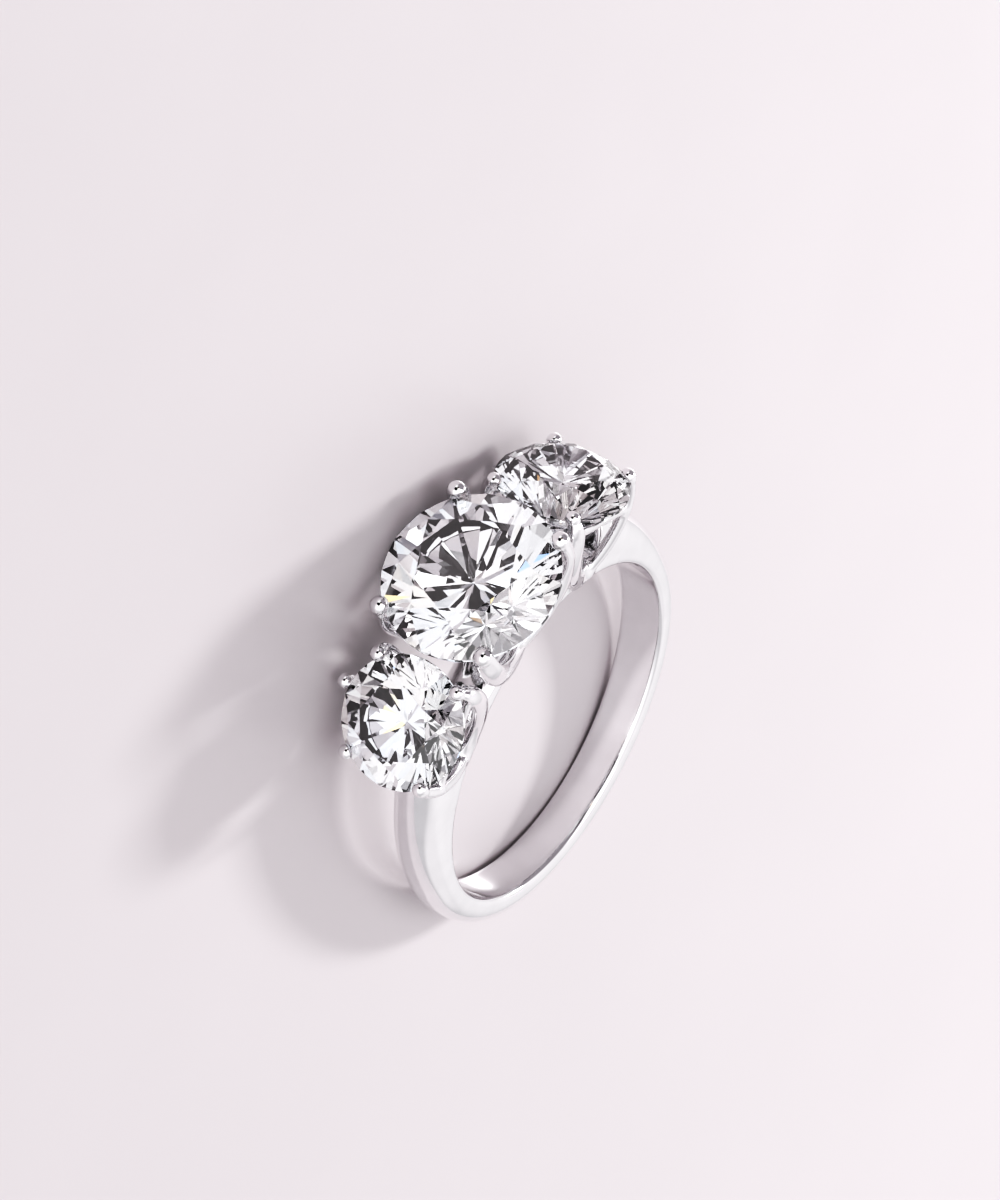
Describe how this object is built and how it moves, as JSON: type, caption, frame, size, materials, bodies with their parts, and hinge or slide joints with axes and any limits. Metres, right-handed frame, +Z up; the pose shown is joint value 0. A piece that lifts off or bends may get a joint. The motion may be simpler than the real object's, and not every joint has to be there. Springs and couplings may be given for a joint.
{
  "type": "three stone ring",
  "caption": "White metal finger ring lying on its side: a large round brilliant between two smaller ones, on ball-tipped claws over a narrow domed band.",
  "frame": {"origin": "on the surface the ring lies on, under the middle of its box", "axes": "+X along the row of stones, +Y from the bottom of the band towards the centre stone, +Z up, along the finger's axis to within eight degrees"},
  "size_m": [0.0194, 0.0258, 0.008],
  "materials": {
    "metal": "polished white metal",
    "stone": "polished facets, colourless"
  },
  "bodies": {
    "root": {"setting": "metal", "centre_stone": "stone", "left_stone": "stone", "right_stone": "stone"}
  },
  "joints": []
}
